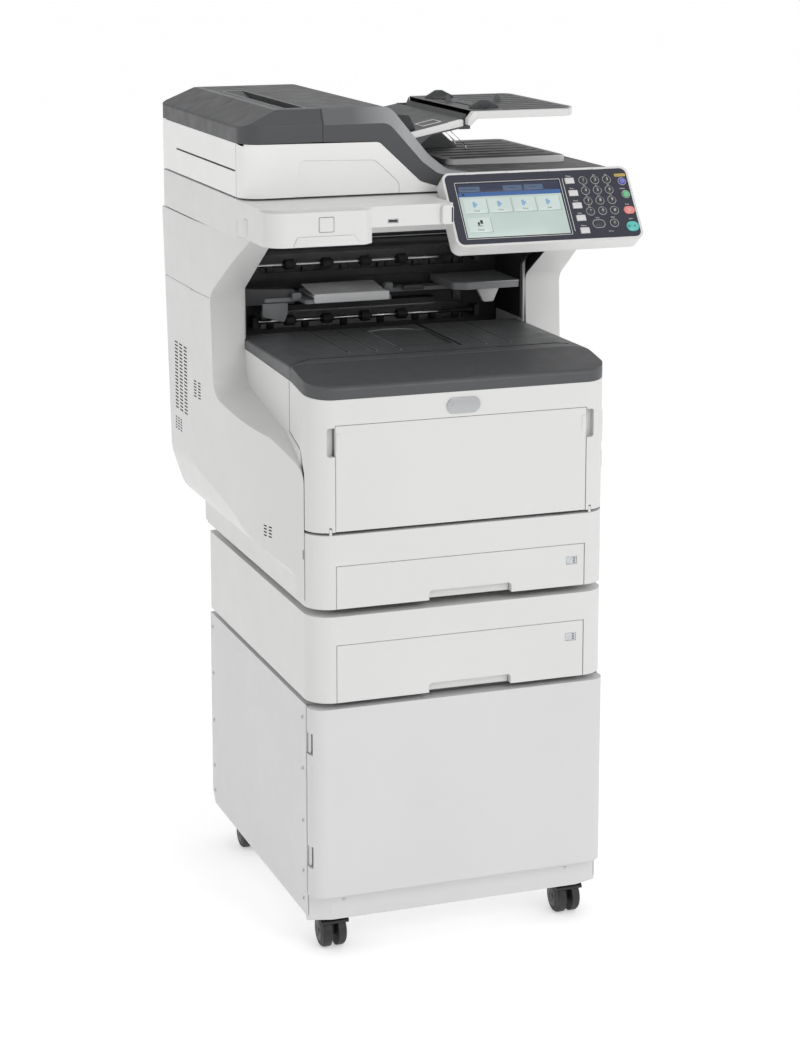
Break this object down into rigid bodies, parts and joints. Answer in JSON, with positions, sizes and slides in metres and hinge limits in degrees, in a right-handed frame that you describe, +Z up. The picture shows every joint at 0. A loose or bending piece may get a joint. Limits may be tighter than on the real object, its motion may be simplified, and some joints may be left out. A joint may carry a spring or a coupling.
{
  "type": "photocopier",
  "caption": "Floor-standing office copier: castor cabinet, two paper drawers, printer, output bay, scanner with tilting touch panel, lift-up document feeder.",
  "frame": {"origin": "centre of the footprint box, on the floor under the castors", "axes": "+Z up, +X to the machine's right as its user faces it, +Y from the front to the rear"},
  "size_m": [0.563, 0.563, 1.202],
  "materials": {
    "white_cover": "fine-textured moulded plastic, satin",
    "cabinet_paint": "powder coat, satin",
    "dark_cover": "fine-textured moulded plastic, satin",
    "dark_inner": "plain moulded plastic",
    "grey_inner": "plain moulded plastic",
    "clear_flap": "clear moulded plastic, polished",
    "steel": "zinc-plated sheet",
    "roller_rubber": "ground rubber on steel shaft",
    "castor_plastic": "hard black nylon",
    "castor_tread": "hard black nylon wheel",
    "platen": "polished flat glass",
    "pad_white": "white backing sheet",
    "screen": "glossy display, lit",
    "key_white": "moulded key caps",
    "key_grey": "moulded key caps",
    "key_blue": "moulded key cap",
    "key_green": "moulded key cap",
    "key_red": "moulded key cap",
    "key_teal": "moulded key cap",
    "engine": "plain moulded plastic"
  },
  "bodies": {
    "body": {"cabinet_base_and_back": "cabinet_paint", "cabinet_left_side": "cabinet_paint", "cabinet_right_side": "cabinet_paint", "cabinet_top": "cabinet_paint", "cabinet_plinth": "cabinet_paint", "cabinet_door_hinges": "steel", "feeder_housing": "white_cover", "printer_chassis": "white_cover", "output_tray": "dark_cover", "left_side_cover": "white_cover", "right_side_cover": "white_cover", "rear_cover": "white_cover", "bay_wall": "dark_inner", "bay_shelf": "grey_inner", "drum_and_toner_units": "engine", "transfer_belt_unit": "engine", "fuser_unit": "engine"},
    "door": {"cabinet_door": "cabinet_paint"},
    "feeder_drawer": {"feeder_drawer_front": "white_cover", "feeder_drawer_tray": "grey_inner"},
    "feeder_lift": {"feeder_lift_plate": "steel"},
    "feeder_pickup": {"feeder_pickup_roller": "roller_rubber"},
    "printer_drawer": {"printer_drawer_front": "white_cover", "printer_drawer_tray": "grey_inner"},
    "printer_lift": {"printer_lift_plate": "steel"},
    "printer_pickup": {"printer_pickup_roller": "roller_rubber"},
    "front_door": {"front_cover": "white_cover", "front_cover_lid": "dark_cover"},
    "mp_tray": {"mp_tray_door": "white_cover"},
    "mp_extension": {"mp_tray_extension": "white_cover"},
    "lower_exit": {"exit_rollers_lower": "roller_rubber"},
    "upper_exit": {"exit_rollers_upper": "roller_rubber"},
    "stop_flap": {"paper_stop_flap": "clear_flap"},
    "scanner": {"scanner_base": "white_cover", "platen_glass": "platen"},
    "carriage": {"scan_carriage": "dark_inner"},
    "panel": {"panel_case": "white_cover", "touch_screen": "screen"},
    "numbers": {"number_keys": "key_grey"},
    "functions": {"function_keys": "key_white"},
    "power_save": {"power_save_key": "key_blue"},
    "reset": {"reset_key": "key_green"},
    "stop": {"stop_key": "key_red"},
    "start": {"start_key": "key_teal"},
    "adf": {"adf_base": "white_cover", "platen_pad": "pad_white", "adf_deck": "dark_cover"},
    "feed_cover": {"adf_feed_cover": "dark_cover"},
    "feed_roller": {"adf_feed_roller": "roller_rubber"},
    "doc_tray": {"document_tray": "dark_cover"},
    "front_guide": {"front_document_guide": "dark_cover"},
    "rear_guide": {"rear_document_guide": "dark_cover"},
    "castor_front_left": {"castor_fork_front_left": "castor_plastic"},
    "castor_front_left_wheels": {"castor_wheels_front_left": "castor_tread"},
    "castor_front_right": {"castor_fork_front_right": "castor_plastic"},
    "castor_front_right_wheels": {"castor_wheels_front_right": "castor_tread"},
    "castor_rear_left": {"castor_fork_rear_left": "castor_plastic"},
    "castor_rear_left_wheels": {"castor_wheels_rear_left": "castor_tread"},
    "castor_rear_right": {"castor_fork_rear_right": "castor_plastic"},
    "castor_rear_right_wheels": {"castor_wheels_rear_right": "castor_tread"}
  },
  "joints": [
    {"name": "castor_front_left_swivel", "type": "hinge", "parent": "body", "child": "castor_front_left", "pos_m": [-0.183, -0.2155, 0.057], "axis": [0, 0, 1], "continuous": true},
    {"name": "castor_front_left_spin", "type": "hinge", "parent": "castor_front_left", "child": "castor_front_left_wheels", "pos_m": [-0.183, -0.2335, 0.024], "axis": [1, 0, 0], "continuous": true},
    {"name": "castor_front_right_swivel", "type": "hinge", "parent": "body", "child": "castor_front_right", "pos_m": [0.183, -0.2155, 0.057], "axis": [0, 0, 1], "continuous": true},
    {"name": "castor_front_right_spin", "type": "hinge", "parent": "castor_front_right", "child": "castor_front_right_wheels", "pos_m": [0.183, -0.2335, 0.024], "axis": [1, 0, 0], "continuous": true},
    {"name": "castor_rear_left_swivel", "type": "hinge", "parent": "body", "child": "castor_rear_left", "pos_m": [-0.183, 0.1885, 0.057], "axis": [0, 0, 1], "continuous": true},
    {"name": "castor_rear_left_spin", "type": "hinge", "parent": "castor_rear_left", "child": "castor_rear_left_wheels", "pos_m": [-0.183, 0.1705, 0.024], "axis": [1, 0, 0], "continuous": true},
    {"name": "castor_rear_right_swivel", "type": "hinge", "parent": "body", "child": "castor_rear_right", "pos_m": [0.183, 0.1885, 0.057], "axis": [0, 0, 1], "continuous": true},
    {"name": "castor_rear_right_spin", "type": "hinge", "parent": "castor_rear_right", "child": "castor_rear_right_wheels", "pos_m": [0.183, 0.1705, 0.024], "axis": [1, 0, 0], "continuous": true},
    {"name": "cabinet_door_hinge", "type": "hinge", "parent": "body", "child": "door", "pos_m": [-0.219, -0.2581, 0.2], "axis": [0, 0, -1], "range_deg": [0, 105]},
    {"name": "feeder_drawer_slide", "type": "slide", "parent": "body", "child": "feeder_drawer", "axis": [0, -1, 0], "range_m": [0, 0.32]},
    {"name": "feeder_lift_hinge", "type": "hinge", "parent": "feeder_drawer", "child": "feeder_lift", "pos_m": [0, 0.1185, 0.3925], "axis": [-1, 0, 0], "range_deg": [0, 7]},
    {"name": "feeder_pickup_spin", "type": "hinge", "parent": "body", "child": "feeder_pickup", "pos_m": [0, -0.2075, 0.454], "axis": [1, 0, 0], "continuous": true},
    {"name": "printer_drawer_slide", "type": "slide", "parent": "body", "child": "printer_drawer", "axis": [0, -1, 0], "range_m": [0, 0.32]},
    {"name": "printer_lift_hinge", "type": "hinge", "parent": "printer_drawer", "child": "printer_lift", "pos_m": [0, 0.1185, 0.5285], "axis": [-1, 0, 0], "range_deg": [0, 7]},
    {"name": "printer_pickup_spin", "type": "hinge", "parent": "body", "child": "printer_pickup", "pos_m": [0, -0.2075, 0.59], "axis": [1, 0, 0], "continuous": true},
    {"name": "front_cover_hinge", "type": "hinge", "parent": "body", "child": "front_door", "pos_m": [0, -0.2785, 0.629], "axis": [1, 0, 0], "range_deg": [0, 32]},
    {"name": "mp_tray_hinge", "type": "hinge", "parent": "front_door", "child": "mp_tray", "pos_m": [0, -0.278, 0.6305], "axis": [1, 0, 0], "range_deg": [0, 70]},
    {"name": "mp_extension_slide", "type": "slide", "parent": "mp_tray", "child": "mp_extension", "axis": [0, 0, 1], "range_m": [0, 0.05]},
    {"name": "lower_exit_spin", "type": "hinge", "parent": "body", "child": "lower_exit", "pos_m": [0, 0.1305, 0.853], "axis": [1, 0, 0], "continuous": true},
    {"name": "upper_exit_spin", "type": "hinge", "parent": "body", "child": "upper_exit", "pos_m": [0, 0.1305, 0.939], "axis": [1, 0, 0], "continuous": true},
    {"name": "stop_flap_hinge", "type": "hinge", "parent": "body", "child": "stop_flap", "pos_m": [0, 0.1225, 0.8995], "axis": [-1, 0, 0], "range_deg": [0, 25]},
    {"name": "scanner_lift_hinge", "type": "hinge", "parent": "body", "child": "scanner", "pos_m": [0, 0.2715, 1.025], "axis": [-1, 0, 0], "range_deg": [0, 20]},
    {"name": "carriage_slide", "type": "slide", "parent": "scanner", "child": "carriage", "axis": [1, 0, 0], "range_m": [0, 0.44]},
    {"name": "panel_tilt", "type": "hinge", "parent": "scanner", "child": "panel", "pos_m": [0, -0.18, 1.06372], "axis": [-1, 0, 0], "range_deg": [0, 20]},
    {"name": "numbers_press", "type": "slide", "parent": "panel", "child": "numbers", "axis": [0, 0.8155, -0.5787], "range_m": [0, 0.001], "stiffness_N_per_m": 400, "springref_m": -0.0005},
    {"name": "functions_press", "type": "slide", "parent": "panel", "child": "functions", "axis": [0, 0.8155, -0.5787], "range_m": [0, 0.001], "stiffness_N_per_m": 400, "springref_m": -0.0005},
    {"name": "power_save_press", "type": "slide", "parent": "panel", "child": "power_save", "axis": [0, 0.8155, -0.5787], "range_m": [0, 0.001], "stiffness_N_per_m": 400, "springref_m": -0.0005},
    {"name": "reset_press", "type": "slide", "parent": "panel", "child": "reset", "axis": [0, 0.8155, -0.5787], "range_m": [0, 0.001], "stiffness_N_per_m": 400, "springref_m": -0.0005},
    {"name": "stop_press", "type": "slide", "parent": "panel", "child": "stop", "axis": [0, 0.8155, -0.5787], "range_m": [0, 0.001], "stiffness_N_per_m": 400, "springref_m": -0.0005},
    {"name": "start_press", "type": "slide", "parent": "panel", "child": "start", "axis": [0, 0.8155, -0.5787], "range_m": [0, 0.001], "stiffness_N_per_m": 400, "springref_m": -0.0005},
    {"name": "adf_lid_hinge", "type": "hinge", "parent": "scanner", "child": "adf", "pos_m": [0, 0.2785, 1.0776], "axis": [-1, 0, 0], "range_deg": [0, 65]},
    {"name": "feed_cover_hinge", "type": "hinge", "parent": "adf", "child": "feed_cover", "pos_m": [-0.276, 0.0585, 1.158], "axis": [0, -1, 0], "range_deg": [0, 70]},
    {"name": "feed_roller_spin", "type": "hinge", "parent": "adf", "child": "feed_roller", "pos_m": [-0.225, 0.0585, 1.148], "axis": [0, 1, 0], "continuous": true},
    {"name": "document_tray_hinge", "type": "hinge", "parent": "adf", "child": "doc_tray", "pos_m": [0.056, 0.0585, 1.171], "axis": [0, -1, 0], "range_deg": [0, 40]},
    {"name": "front_guide_slide", "type": "slide", "parent": "doc_tray", "child": "front_guide", "axis": [0, 1, 0], "range_m": [0, 0.07]},
    {"name": "rear_guide_slide", "type": "slide", "parent": "doc_tray", "child": "rear_guide", "axis": [0, -1, 0], "range_m": [0, 0.07]}
  ],
  "couplings": [
    {"joint": "rear_guide_slide", "follows": "front_guide_slide", "ratio": 1}
  ]
}
